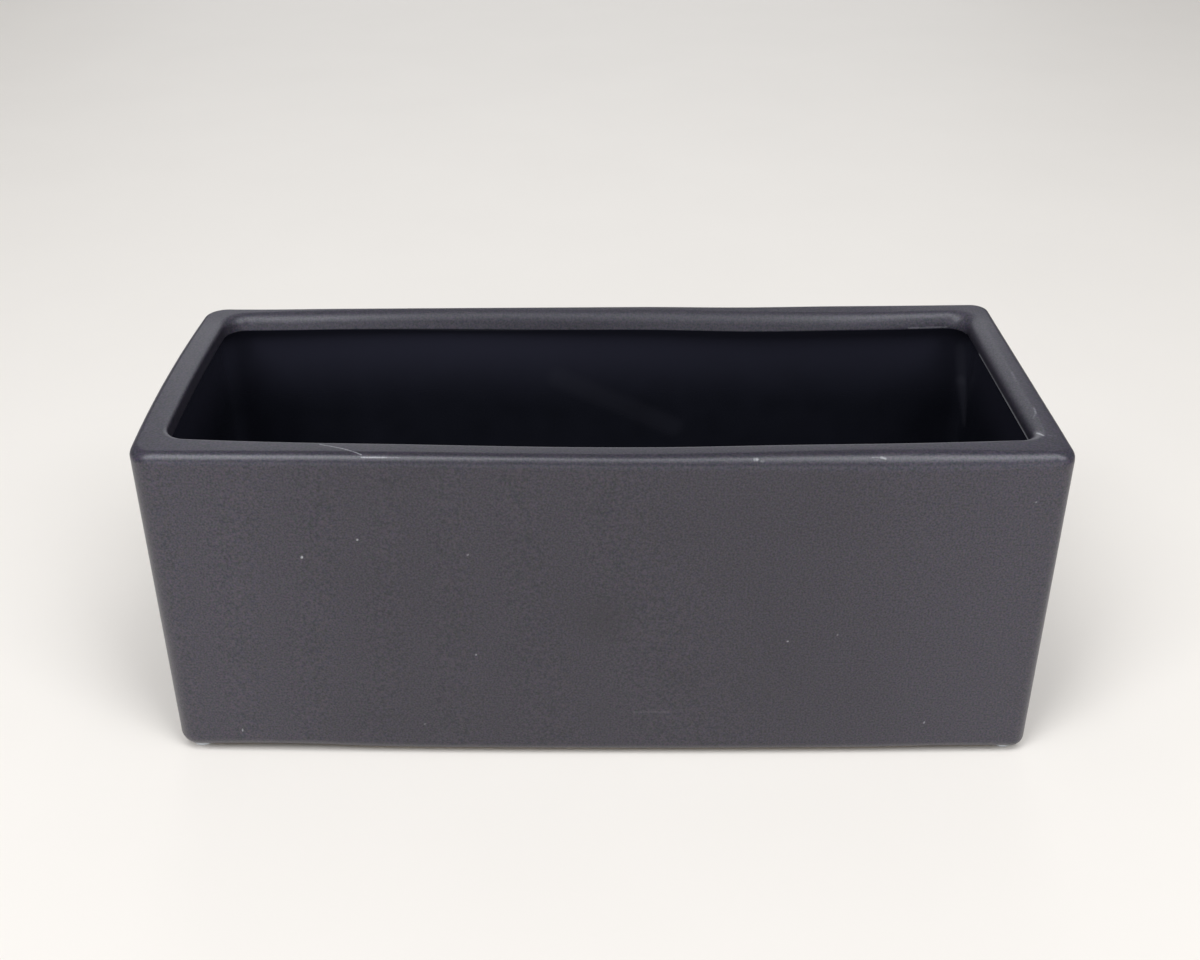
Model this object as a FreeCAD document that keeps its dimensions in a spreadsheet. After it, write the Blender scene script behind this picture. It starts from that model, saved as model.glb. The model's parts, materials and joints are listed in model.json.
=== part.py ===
import FreeCAD, Part
import os

import Sketcher

# Deep rectangular flower vessel of slip-cast stoneware, with a matte glaze outside, a gloss glaze
# inside and four clear bumper feet. Lengths are in millimetres. +Z is up, +X runs along the
# vessel, -Y is its front, and the origin lies on the ground under the middle of its outline.

# Name of each driving size, its value, and what it measures on the finished vessel.
SIZES = (
    ("overall_length", 307.2, "bulge of the left wall to the right wall"),
    ("overall_width", 124.4, "back wall to the right end of the front wall"),
    ("body_height", 120.9, "unglazed underside to the top of the rim"),
    ("front_left_setback", 4.6, "how far the left end of the front wall stands back, as cast"),
    ("front_bow", 1.65, "outward bow of the front wall at its middle"),
    ("left_bow", 2.2, "outward bow of the left wall at its middle"),
    ("corner_radius", 5.5, "rounding of the four upright corners"),
    ("base_edge_radius", 3.6, "rounding between the walls and the underside"),
    ("rim_outer_radius", 2.5, "rounding of the outer edge of the rim"),
    ("rim_width_left", 8.9, "rim from the left wall to the mouth, at its ends"),
    ("rim_width_right", 10.6, "rim from the right wall to the mouth"),
    ("rim_width_back", 9.8, "rim from the back wall to the mouth"),
    ("rim_width_front", 14.3, "rim from the front wall to the mouth, at its ends"),
    ("mouth_front_bow", 5.2, "outward bow of the front edge of the mouth"),
    ("mouth_left_bow", 1.0, "outward bow of the left edge of the mouth"),
    ("mouth_corner_radius", 7.5, "rounding of the corners of the mouth, seen from above"),
    ("rim_inner_radius", 3.0, "rounding where the rim turns down into the mouth"),
    ("lip_depth", 6.0, "height of the lip that the rim turns down"),
    ("lip_edge_radius", 0.8, "rounding of the lower edge of the lip"),
    ("lip_cove_radius", 2.2, "hollow between the lip and the wall under it"),
    ("wall_thickness", 5.0, "wall under the lip"),
    ("floor_thickness", 6.0, "floor of the basin"),
    ("basin_corner_radius", 6.0, "rounding of the upright corners of the basin"),
    ("floor_edge_radius", 5.0, "rounding between the walls and the floor of the basin"),
    ("glaze_thickness", 0.4, "each of the two glaze coats"),
    ("glaze_stop_height", 0.8, "bare clay above the underside, where the glaze is wiped back"),
    ("liner_climb", 1.2, "how far the gloss glaze climbs the lip from its lower edge"),
    ("foot_diameter", 8.0, "bumper foot"),
    ("foot_thickness", 1.65, "bumper foot without its adhesive"),
    ("foot_edge_radius", 0.9, "rounding of the edge of a foot on the ground"),
    ("foot_inset", 6.9, "centre of a foot from each of the two walls beside it"),
    ("adhesive_diameter", 6.6, "adhesive disc that holds a foot"),
    ("adhesive_thickness", 0.15, "adhesive disc"),
    ("overrun", 4.0, "how far a cutting solid runs past what it cuts"),
    ("same_level", 0.001, "two heights nearer to each other than this are one level"),
)

# Distances from the middle of the outline to its walls and to the ends of the front wall.
LEFT = "(Sizes.overall_length / 2 - Sizes.left_bow)"
RIGHT = "(Sizes.overall_length / 2)"
BACK = "(Sizes.overall_width / 2)"
FRONT_LEFT = "(Sizes.overall_width / 2 - Sizes.front_left_setback)"
FRONT_RIGHT = "(Sizes.overall_width / 2)"

# Heights of the main levels above the ground.
BASE = "(Sizes.foot_thickness + Sizes.adhesive_thickness)"
FLOOR = f"({BASE} + Sizes.floor_thickness)"
RIM = f"({BASE} + Sizes.body_height)"
LIP = f"({RIM} - Sizes.lip_depth)"


def make_sheet(doc):
    """Keep the driving sizes in a sheet, each under its own name."""
    sheet = doc.addObject("Spreadsheet::Sheet", "Sizes")
    for row, (alias, size, meaning) in enumerate(SIZES, start=1):
        sheet.set(f"A{row}", meaning)
        sheet.set(f"B{row}", str(size))
        sheet.setAlias(f"B{row}", alias)
    doc.recompute()


def worked_out(holder, expression):
    """The number that an expression gives now."""
    return float(holder.evalExpression(expression))


def new_body(doc, label):
    """Empty body with a name of its own."""
    body = doc.addObject("PartDesign::Body", label)
    body.Label = label
    return body


def level_sketch(body, name, height):
    """Sketch on the body's own level plane, lifted to a height."""
    plane = next(feature for feature in body.Origin.OriginFeatures if feature.Role == "XY_Plane")
    sketch = body.newObject("Sketcher::SketchObject", name)
    sketch.AttachmentSupport = [(plane, "")]
    sketch.MapMode = "FlatFace"
    sketch.setExpression("AttachmentOffset.Base.z", height)
    return sketch


def bind(sketch, name, constraint, expression):
    """Add a dimension to a sketch and bind it to an expression."""
    number = sketch.addConstraint(constraint)
    sketch.renameConstraint(number, name)
    sketch.setExpression(f"Constraints.{name}", expression)


def bowed_arc(start, end, bow):
    """Arc from start to end that bulges by bow to the right of the way along it."""
    chord = end - start
    outward = FreeCAD.Vector(chord.y, -chord.x, 0).normalize()
    return Part.Arc(start, (start + end) / 2 + outward * bow, end)


def bow_radius(chord, bow):
    """Radius of the arc that stands out from its chord by the bow."""
    return f"({chord} ^ 2 / (8 * {bow}) + {bow} / 2)"


def bowed_outline(sketch, reach, bow):
    """Draw four walls: straight ones right and back, and bowed ones in front and left."""
    size = {key: worked_out(sketch, text) for key, text in {**reach, **bow}.items()}
    front_left = FreeCAD.Vector(-size["left"], -size["front_left"], 0)
    front_right = FreeCAD.Vector(size["right"], -size["front_right"], 0)
    back_right = FreeCAD.Vector(size["right"], size["back"], 0)
    back_left = FreeCAD.Vector(-size["left"], size["back"], 0)
    front = sketch.addGeometry(bowed_arc(front_left, front_right, size["front_bow"]))
    right = sketch.addGeometry(Part.LineSegment(front_right, back_right))
    back = sketch.addGeometry(Part.LineSegment(back_right, back_left))
    left = sketch.addGeometry(bowed_arc(back_left, front_left, size["left_bow"]))
    for wall, next_wall in ((front, right), (right, back), (back, left), (left, front)):
        sketch.addConstraint(Sketcher.Constraint("Coincident", wall, 2, next_wall, 1))
    place_corners(sketch, (front, right, back, left), reach, size)
    length = f"hypot({reach['left']} + {reach['right']}; {reach['front_right']} - {reach['front_left']})"
    depth = f"({reach['front_left']} + {reach['back']})"
    for wall, name, chord in ((front, "front_bow", length), (left, "left_bow", depth)):
        radius = bow_radius(chord, bow[name])
        bind(sketch, name, Sketcher.Constraint("Radius", wall, worked_out(sketch, radius)), radius)


def place_corners(sketch, walls, reach, size):
    """Bind both distances of each corner from the middle, where -1 is the sketch's own axes."""
    front, right, back, left = walls
    dimensions = (
        ("front_left_y", "DistanceY", (front, 1, -1, 1), "front_left"),
        ("front_left_x", "DistanceX", (front, 1, -1, 1), "left"),
        ("front_right_y", "DistanceY", (right, 1, -1, 1), "front_right"),
        ("front_right_x", "DistanceX", (-1, 1, right, 1), "right"),
        ("back_right_y", "DistanceY", (-1, 1, back, 1), "back"),
        ("back_right_x", "DistanceX", (-1, 1, back, 1), "right"),
        ("back_left_y", "DistanceY", (-1, 1, left, 1), "back"),
        ("back_left_x", "DistanceX", (left, 1, -1, 1), "left"),
    )
    for name, kind, points, key in dimensions:
        bind(sketch, name, Sketcher.Constraint(kind, *points, size[key]), reach[key])


def outer_outline(inset):
    """Reach and bows of the outer walls, with each wall moved in by an inset."""
    walls = {"left": LEFT, "right": RIGHT, "back": BACK, "front_left": FRONT_LEFT, "front_right": FRONT_RIGHT}
    reach = {key: f"({text} - {inset})" for key, text in walls.items()}
    return reach, {"front_bow": "Sizes.front_bow", "left_bow": "Sizes.left_bow"}


def mouth_outline(inset):
    """Reach and bows of the mouth, measured from the outer walls and moved in by an inset."""
    reach = {
        "left": f"({LEFT} - Sizes.rim_width_left - {inset})",
        "right": f"({RIGHT} - Sizes.rim_width_right - {inset})",
        "back": f"({BACK} - Sizes.rim_width_back - {inset})",
        "front_left": f"({FRONT_LEFT} - Sizes.rim_width_front - {inset})",
        "front_right": f"({FRONT_RIGHT} - Sizes.rim_width_front - {inset})",
    }
    return reach, {"front_bow": "Sizes.mouth_front_bow", "left_bow": "Sizes.mouth_left_bow"}


def pad_up(body, name, outline, bottom, top):
    """Fill an outline from one height up to another."""
    sketch = level_sketch(body, f"{name}_outline", bottom)
    bowed_outline(sketch, *outline)
    pad = body.newObject("PartDesign::Pad", name)
    pad.Profile = sketch
    pad.setExpression("Length", f"{top} - {bottom}")
    body.Document.recompute()
    return pad


def pocket_down(body, name, outline, top, bottom):
    """Hollow an outline out from one height down to another."""
    volume_before = body.Shape.Volume
    sketch = level_sketch(body, f"{name}_outline", top)
    bowed_outline(sketch, *outline)
    pocket = body.newObject("PartDesign::Pocket", name)
    pocket.Profile = sketch
    pocket.setExpression("Length", f"{top} - {bottom}")
    body.Document.recompute()
    if body.Shape.Volume >= volume_before:
        raise RuntimeError(f"{name} cuts nothing")
    return pocket


def upright_edges(feature, bottom, top):
    """Names of the straight upright edges that run exactly between two heights."""
    low, high, slack = (worked_out(feature, text) for text in (bottom, top, "Sizes.same_level"))
    names = []
    for number, edge in enumerate(feature.Shape.Edges, start=1):
        heights = [vertex.Z for vertex in edge.Vertexes]
        if abs(min(heights) - low) < slack and abs(max(heights) - high) < slack:
            names.append(f"Edge{number}")
    return names


def level_edges(feature, height, outer):
    """Names of the outer or the inner edges of the level faces at a height."""
    level, slack = (worked_out(feature, text) for text in (height, "Sizes.same_level"))
    wanted = []
    for face in feature.Shape.Faces:
        box = face.BoundBox
        if abs(box.ZMin - level) < slack and abs(box.ZMax - level) < slack:
            wires = [wire for wire in face.Wires if wire.isSame(face.OuterWire) == outer]
            wanted += [edge for wire in wires for edge in wire.Edges]
    edges = enumerate(feature.Shape.Edges, start=1)
    return [f"Edge{number}" for number, edge in edges if any(edge.isSame(other) for other in wanted)]


def round_off(body, name, feature, edges, radius):
    """Round edges of the body's last feature."""
    fillet = body.newObject("PartDesign::Fillet", name)
    fillet.Base = (feature, edges)
    fillet.setExpression("Radius", radius)
    body.Document.recompute()
    return fillet


def cast_form(doc, label, coat):
    """The vessel's form with a coat of this thickness on it: zero gives the bare clay."""
    body = new_body(doc, label)
    bare = f"(Sizes.glaze_thickness - {coat})"
    underside = f"({BASE} - {coat})"
    floor = f"({FLOOR} - {bare})"
    lip = f"({LIP} + {bare})"
    rim = f"({RIM} - {bare})"
    last = pad_up(body, "walls", outer_outline(bare), underside, rim)
    uprights = upright_edges(last, underside, rim)
    last = round_off(body, "corners", last, uprights, f"Sizes.corner_radius - {bare}")
    last = pocket_down(body, "mouth", mouth_outline(f"(0 - {bare})"), rim, lip)
    uprights = upright_edges(last, lip, rim)
    last = round_off(body, "mouth_corners", last, uprights, f"Sizes.mouth_corner_radius + {bare}")
    last = pocket_down(body, "basin", outer_outline(f"(Sizes.wall_thickness - {bare})"), lip, floor)
    uprights = upright_edges(last, floor, lip)
    last = round_off(body, "basin_corners", last, uprights, f"Sizes.basin_corner_radius + {bare}")
    roundings = (
        ("base_edge", underside, True, f"Sizes.base_edge_radius + {coat}"),
        ("rim_outer_edge", rim, True, f"Sizes.rim_outer_radius - {bare}"),
        ("rim_inner_edge", rim, False, f"Sizes.rim_inner_radius - {bare}"),
        ("lip_edge", lip, False, f"Sizes.lip_edge_radius - {bare}"),
        ("lip_cove", lip, True, f"Sizes.lip_cove_radius + {bare}"),
        ("floor_edge", floor, True, f"Sizes.floor_edge_radius + {bare}"),
    )
    for name, height, outer, radius in roundings:
        last = round_off(body, name, last, level_edges(last, height, outer), radius)
    return body


def boolean(doc, kind, label, base, tool):
    """Cut or common of two objects."""
    result = doc.addObject(kind, label)
    result.Label = label
    result.Base = base
    result.Tool = tool
    return result


def liner_zone(doc):
    """Solid that reaches to the middle of the walls and floor, and up the lip's lower edge."""
    body = new_body(doc, "liner_zone")
    middle = outer_outline("(Sizes.wall_thickness / 2)")
    bottom = f"({BASE} + Sizes.floor_thickness / 2)"
    pad_up(body, "zone", middle, bottom, f"({LIP} + Sizes.liner_climb)")
    return body


def wiped_zone(doc):
    """Slab that takes in the underside, where the glaze is wiped back to the clay."""
    slab = doc.addObject("Part::Box", "wiped_zone")
    slab.setExpression("Length", "Sizes.overall_length + 2 * Sizes.overrun")
    slab.setExpression("Width", "Sizes.overall_width + 2 * Sizes.overrun")
    slab.setExpression("Height", f"{BASE} + Sizes.glaze_stop_height + Sizes.overrun")
    slab.setExpression("Placement.Base.x", "-Sizes.overall_length / 2 - Sizes.overrun")
    slab.setExpression("Placement.Base.y", "-Sizes.overall_width / 2 - Sizes.overrun")
    slab.setExpression("Placement.Base.z", "-Sizes.overrun")
    return slab


def glaze_coats(doc, clay):
    """The two coats: what the glazed form adds to the clay, parted at the lip's lower edge."""
    glazed = cast_form(doc, "glazed_form", "Sizes.glaze_thickness")
    both_coats = boolean(doc, "Part::Cut", "both_coats", glazed, clay)
    zone = liner_zone(doc)
    liner = boolean(doc, "Part::Common", "gloss_liner_glaze", both_coats, zone)
    outside = boolean(doc, "Part::Cut", "outside_coat", both_coats, zone)
    outer = boolean(doc, "Part::Cut", "matte_outer_glaze", outside, wiped_zone(doc))
    return outer, liner


def foot_places():
    """Name of each foot and its distances from the middle."""
    left = f"-({LEFT} - Sizes.foot_inset)"
    right = f"({RIGHT} - Sizes.foot_inset)"
    back = f"({BACK} - Sizes.foot_inset)"
    return {
        "front_left_foot": (left, f"-({FRONT_LEFT} - Sizes.foot_inset)"),
        "front_right_foot": (right, f"-({FRONT_RIGHT} - Sizes.foot_inset)"),
        "back_left_foot": (left, back),
        "back_right_foot": (right, back),
    }


def place_at(thing, across, along, height):
    """Bind a thing's place."""
    thing.setExpression("Placement.Base.x", across)
    thing.setExpression("Placement.Base.y", along)
    thing.setExpression("Placement.Base.z", height)


def bumper_foot(doc, label, across, along):
    """Clear round bumper, with its ground edge rounded."""
    body = new_body(doc, label)
    sketch = level_sketch(body, "disc_outline", "0")
    radius = "Sizes.foot_diameter / 2"
    circle = Part.Circle(FreeCAD.Vector(), FreeCAD.Vector(0, 0, 1), worked_out(body, radius))
    disc = sketch.addGeometry(circle)
    sketch.addConstraint(Sketcher.Constraint("Coincident", disc, 3, -1, 1))
    bind(sketch, "radius", Sketcher.Constraint("Radius", disc, worked_out(body, radius)), radius)
    pad = body.newObject("PartDesign::Pad", "disc")
    pad.Profile = sketch
    pad.setExpression("Length", "Sizes.foot_thickness")
    doc.recompute()
    round_off(body, "ground_edge", pad, level_edges(pad, "0", True), "Sizes.foot_edge_radius")
    place_at(body, across, along, "0")
    return body


def adhesive_discs(doc, places):
    """One clear adhesive disc between each foot and the clay."""
    discs = []
    for name, (across, along) in places.items():
        disc = doc.addObject("Part::Cylinder", name.replace("foot", "disc"))
        disc.setExpression("Radius", "Sizes.adhesive_diameter / 2")
        disc.setExpression("Height", "Sizes.adhesive_thickness")
        place_at(disc, across, along, "Sizes.foot_thickness")
        discs.append(disc)
    group = doc.addObject("Part::Compound", "foot_adhesive_discs")
    group.Links = discs
    return group


def check(doc, sub_parts):
    """Stop if anything failed to build or a sub-part is no valid solid."""
    for thing in doc.Objects:
        if "Invalid" in thing.State or "Error" in thing.State:
            raise RuntimeError(f"{thing.Label} is {thing.State}")
    for thing in sub_parts:
        if thing.Shape.isNull() or not thing.Shape.isValid() or not thing.Shape.Solids:
            raise RuntimeError(f"{thing.Label} has no valid solid")


def export(sub_parts):
    """Write one STEP file for each sub-part and print what it holds."""
    os.makedirs("parts", exist_ok=True)
    for thing in sub_parts:
        thing.Shape.exportStep(f"parts/{thing.Label}.step")
        box = thing.Shape.optimalBoundingBox(False, False)
        print(
            f"{thing.Label}: {len(thing.Shape.Solids)} solids, {thing.Shape.Volume:.1f} mm3,"
            f" x {box.XMin:.2f} to {box.XMax:.2f}, y {box.YMin:.2f} to {box.YMax:.2f},"
            f" z {box.ZMin:.2f} to {box.ZMax:.2f}"
        )


def main():
    """Build the vessel, check it and write its sub-parts."""
    doc = FreeCAD.newDocument("flower_vessel")
    make_sheet(doc)
    clay = cast_form(doc, "stoneware_body", "0")
    outer, liner = glaze_coats(doc, clay)
    places = foot_places()
    feet = [bumper_foot(doc, name, across, along) for name, (across, along) in places.items()]
    discs = adhesive_discs(doc, places)
    doc.recompute()
    sub_parts = [clay, outer, liner, *feet, discs]
    check(doc, sub_parts)
    export(sub_parts)


main()
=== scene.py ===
# %% [markdown]
# # A matte black ikebana vessel
# The object is a deep rectangular vessel for cut flowers. It was slip-cast in stoneware: liquid
# clay was poured into a plaster mould, and the clay that set against the mould became the wall.
# A dry, matte charcoal glaze covers the outside and the rim, a shiny black glaze lines the basin,
# and four clear soft bumpers keep the bare underside off the table.
#
# The lesson builds it as it was made: first the cast form, then the two glaze coats on it, then
# the bumpers, the finishes, and last the studio. The first cell loads the measured parts that the
# visual pieces have to fit.

import json
import math

import bmesh
import bpy
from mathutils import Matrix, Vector

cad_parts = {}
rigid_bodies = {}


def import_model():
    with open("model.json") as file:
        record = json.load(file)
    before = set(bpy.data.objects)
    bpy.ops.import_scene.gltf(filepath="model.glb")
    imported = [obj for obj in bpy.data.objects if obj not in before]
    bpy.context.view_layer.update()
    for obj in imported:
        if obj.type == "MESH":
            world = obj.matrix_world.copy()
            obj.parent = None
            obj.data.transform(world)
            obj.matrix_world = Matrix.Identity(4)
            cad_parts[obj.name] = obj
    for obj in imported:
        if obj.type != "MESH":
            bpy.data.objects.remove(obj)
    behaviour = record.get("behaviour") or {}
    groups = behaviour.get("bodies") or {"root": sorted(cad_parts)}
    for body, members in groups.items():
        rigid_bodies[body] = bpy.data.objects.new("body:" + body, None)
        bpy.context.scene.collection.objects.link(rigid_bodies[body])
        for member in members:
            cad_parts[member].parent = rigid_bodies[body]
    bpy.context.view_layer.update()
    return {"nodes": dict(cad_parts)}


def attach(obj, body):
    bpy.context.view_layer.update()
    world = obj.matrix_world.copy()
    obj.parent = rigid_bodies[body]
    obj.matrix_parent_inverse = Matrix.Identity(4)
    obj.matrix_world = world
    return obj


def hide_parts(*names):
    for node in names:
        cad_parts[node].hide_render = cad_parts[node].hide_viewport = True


bpy.ops.object.select_all(action="SELECT")
bpy.ops.object.delete()

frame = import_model()
print("measured parts:", ", ".join(sorted(frame["nodes"])))

# %% [markdown]
# ## Sizes
# Blender works in metres and a potter in millimetres, so every size below is in millimetres times
# MM. They are the sizes of the finished, glazed surface. No real casting is a true box: here the
# front wall bows out and runs a little askew, and the left wall bows out too. The mouth has its
# own bow, so the front of the rim is narrowest in the middle. The two left corners are a little
# rounder than the two right ones.

# %% Sizes of the glazed vessel
MM = 0.001

# How far the walls stand from the middle of the vessel at their corners, and how far they bow
WALLS = {"left": 151.65, "right": 153.6, "back": 62.2, "front_left": 57.6, "front_right": 62.2}
WALL_BOWS = {"front": 1.65, "left": 1.95}
MOUTH = {"left": 142.5, "right": 143.0, "back": 52.4, "front_left": 44.5, "front_right": 49.1}
MOUTH_BOWS = {"front": 5.5, "left": 1.0}
WALL_THICKNESS = 5.0
BASIN = {side: reach - WALL_THICKNESS for side, reach in WALLS.items()}

# The thickness of the glaze, and heights above the table: of the clay's underside, the basin
# floor, the lip's underside, the line where the two coats meet, and the top of the rim
GLAZE = 0.4
UNDERSIDE = 1.8
FLOOR = 7.8
LIP = 116.7
COATS_MEET = 117.1
RIM = 122.7
GLAZED_BASE = UNDERSIDE - GLAZE

# Radii of the upright corners at the left and at the right end, and of the edges
CORNERS = {"outside": (6.8, 5.5), "mouth": (7.5, 7.5), "basin": (6.0, 6.0)}
ROUNDINGS = {
    "rim outer": {"left": 2.5, "right": 2.6, "front": 4.3, "back": 2.4},
    "rim inner": {"left": 1.5, "right": 5.0, "front": 2.2, "back": 4.6},
    "lip edge": 0.8,
    "lip cove": 2.2,
    "basin floor": 5.0,
    "base": {"left": 4.0, "right": 4.0, "front": 4.0, "back": 4.0},
}
print("height above the table:", RIM, "mm, of which the basin is", RIM - FLOOR, "mm deep")

# %% [markdown]
# ## Picking parts of a mesh
# An operator acts on what is selected, so each step first says in code what it works on. The
# helpers below clear the selection, open a mesh for editing, and pick the corners, edges or faces
# that pass a test, such as all edges at one height.


# %% Helpers for selecting
def deselect_objects():
    """Leave nothing selected, so that an operator can't touch a measured part."""
    for thing in bpy.context.view_layer.objects:
        thing.select_set(False)


def select_only(piece):
    """Make one piece the active one, with nothing else selected."""
    deselect_objects()
    piece.select_set(True)
    bpy.context.view_layer.objects.active = piece


def edit(piece):
    """Open one piece for editing."""
    select_only(piece)
    bpy.ops.object.mode_set(mode="EDIT")


def close():
    """Leave edit mode."""
    bpy.ops.object.mode_set(mode="OBJECT")


def pick(kind, wanted):
    """Select the corners, edges or faces that pass a test, and say how many."""
    bpy.ops.mesh.select_mode(type=kind)
    bpy.ops.mesh.select_all(action="DESELECT")
    data = bpy.context.edit_object.data
    mesh = bmesh.from_edit_mesh(data)
    parts = {"VERT": mesh.verts, "EDGE": mesh.edges, "FACE": mesh.faces}[kind]
    found = [part for part in parts if wanted(part)]
    for part in found:
        part.select_set(True)
    mesh.select_flush_mode()
    bmesh.update_edit_mesh(data)
    return len(found)


def apply_modifier(piece, kind, **settings):
    """Add a modifier, set it up and apply it."""
    modifier = piece.modifiers.new(kind.title(), kind)
    for name, value in settings.items():
        setattr(modifier, name, value)
    select_only(piece)
    bpy.ops.object.modifier_apply(modifier=modifier.name)


print("helpers ready")

# %% [markdown]
# ## Rings of wall
# Three closed rings of wall make the form: the outside walls, the short walls of the mouth, and the
# walls of the basin. They could be outlines drawn as curves and extruded, but then each would
# divide in its own way. Here each starts as a cube with no top and bottom, and its walls get even
# columns. Each column is then pushed to its place on the bow.

# %% Bow the walls of a ring
NEAR = 0.01 * MM


def bow(share):
    """The height of a bow along a wall: none at both ends and 1 in the middle."""
    return 4 * share * (1 - share)


def push_columns(reach, bows):
    """Push each column of a ring to its place on the slightly askew, bowed outline."""
    length = reach["left"] + reach["right"]
    depth = reach["back"] + reach["front_right"]
    corners = bmesh.from_edit_mesh(bpy.context.edit_object.data).verts
    places = sorted({(round(corner.co.x / NEAR), round(corner.co.y / NEAR)) for corner in corners})
    for x_step, y_step in places:
        x, y = x_step * NEAR / MM, y_step * NEAR / MM
        along = (x + reach["left"]) / length
        forward = (reach["back"] - y) / depth
        front = reach["front_left"] + (reach["front_right"] - reach["front_left"]) * along
        front += bows["front"] * bow(along)
        move_x = -(1 - along) * bows["left"] * bow(forward)
        move_y = reach["back"] - forward * (reach["back"] + front) - y
        here = Vector((x * MM, y * MM))
        pick("VERT", lambda corner: (corner.co.xy - here).length < 2 * NEAR)
        bpy.ops.transform.translate(value=(move_x * MM, move_y * MM, 0))


print("a quarter of the way along a wall, a bow has", bow(0.25), "of its height")

# %% [markdown]
# ## Round upright corners
# A plaster mould has round corners, or the cast wouldn't come out whole. The four upright edges
# of a ring are bevelled, those at the left with one radius and those at the right with another.
# Once the walls are bowed the corners are harder to tell by their place, so two vertex groups
# remember them from before.

# %% Keep and round the corners of a ring
CORNER_STEPS = 8
CIRCULAR = 0.5  # the bevel profile of a true arc


def group_corners(ring, name, end, sides):
    """Put the two upright corners at one end of a ring into a group of that name."""

    def is_upright_corner(corner):
        at_side = any(abs(corner.co.y - side) < NEAR for side in sides)
        return at_side and abs(corner.co.x - end) < NEAR

    pick("VERT", is_upright_corner)
    ring.vertex_groups.active = ring.vertex_groups.new(name=name)
    bpy.ops.object.vertex_group_assign()


def round_corners(ring, name, radius):
    """Bevel the upright corners of one group."""
    bpy.ops.mesh.select_all(action="DESELECT")
    bpy.ops.mesh.select_mode(type="VERT")
    ring.vertex_groups.active = ring.vertex_groups[name]
    bpy.ops.object.vertex_group_select()
    bpy.ops.mesh.select_mode(type="EDGE")
    bpy.ops.mesh.bevel(
        offset=radius * MM,
        offset_type="OFFSET",
        segments=CORNER_STEPS,
        profile=CIRCULAR,
        affect="EDGES",
        clamp_overlap=False,
    )


print("a corner is rounded in", CORNER_STEPS, "steps")

# %% [markdown]
# ## The three rings
# Now each ring can be made in one go: a cube of its size, opened above and below, divided into
# columns, bowed and rounded. All rings have the same number of columns and steps, which lets them
# be bridged one to one later. Each ring's corners go into a vertex group of its own, so that
# they can still be told apart once the rings are joined.

# %% One ring of wall, three times
LONG_COLUMNS = 36
SHORT_COLUMNS = 12
LEVEL = 0.5  # the upright part of its normal beyond which a cube's face is a top or bottom


def wall_ring(name, reach, bows, low, high):
    """Four bowed walls with round corners, open above and below."""
    left, right, front, back = -reach["left"], reach["right"], -reach["front_right"], reach["back"]
    deselect_objects()
    bpy.ops.mesh.primitive_cube_add(size=1)
    ring = bpy.context.object
    ring.name = name
    edit(ring)
    bpy.ops.transform.resize(value=Vector((right - left, back - front, high - low)) * MM)
    bpy.ops.transform.translate(value=Vector((right + left, back + front, high + low)) * MM / 2)
    pick("FACE", lambda face: abs(face.normal.z) > LEVEL)
    bpy.ops.mesh.delete(type="ONLY_FACE")
    for axis, columns in ((0, LONG_COLUMNS), (1, SHORT_COLUMNS)):
        pick("EDGE", lambda edge: abs(edge.verts[0].co[axis] - edge.verts[1].co[axis]) > NEAR)
        bpy.ops.mesh.subdivide(number_cuts=columns - 1)
    groups = {"left corners": left * MM, "right corners": right * MM}
    for group, end in groups.items():
        group_corners(ring, group, end, (front * MM, back * MM))
    push_columns(reach, bows)
    for group, radius in zip(groups, CORNERS[name]):
        round_corners(ring, group, radius)
    close()
    ring.vertex_groups.clear()
    ring_group = ring.vertex_groups.new(name=name)
    ring_group.add(range(len(ring.data.vertices)), 1.0, "REPLACE")
    print(f"{name}: {len(ring.data.vertices)} corners, {len(ring.data.polygons)} faces")
    return ring


rings = [
    wall_ring("outside", WALLS, WALL_BOWS, GLAZED_BASE, RIM),
    wall_ring("mouth", MOUTH, MOUTH_BOWS, LIP, RIM),
    wall_ring("basin", BASIN, WALL_BOWS, FLOOR, LIP),
]

# %% [markdown]
# ## One closed form
# The rings are joined and bridged: the strip between the outside and the mouth is the flat top of
# the rim, and the strip between the mouth and the basin is the underside of the lip, which hangs
# over the basin. Bridge needs to see which way one loop lies from the other, and two level loops
# with one centre don't tell it, so the mouth is lowered for the bridging and then raised again.
# One face closes the basin floor and one the underside. Now the form is a closed solid, so its
# normals can all be turned outwards.


# %% Join, bridge and close the rings
def in_ring(mesh, piece, name):
    """A test for corners that belong to this ring and to no other."""
    layer = mesh.verts.layers.deform.verify()
    wanted = {piece.vertex_groups[name].index}
    return lambda corner: set(corner[layer].keys()) == wanted


def pick_loops(piece, *loops):
    """Select the level edge loops given as (ring, height) pairs, and say how many edges."""
    mesh = bmesh.from_edit_mesh(piece.data)
    tests = [(in_ring(mesh, piece, ring), height * MM) for ring, height in loops]

    def wanted(edge):
        for belongs, height in tests:
            if all(belongs(corner) and abs(corner.co.z - height) < NEAR for corner in edge.verts):
                return True
        return False

    return pick("EDGE", wanted)


def raise_mouth(piece, rise):
    """Raise the ring of the mouth by this many millimetres."""
    pick("VERT", in_ring(bmesh.from_edit_mesh(piece.data), piece, "mouth"))
    bpy.ops.transform.translate(value=(0, 0, rise * MM))


deselect_objects()
for ring in rings:
    ring.select_set(True)
form = rings[0]
bpy.context.view_layer.objects.active = form
bpy.ops.object.join()
form.name = "cast_form"

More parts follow.
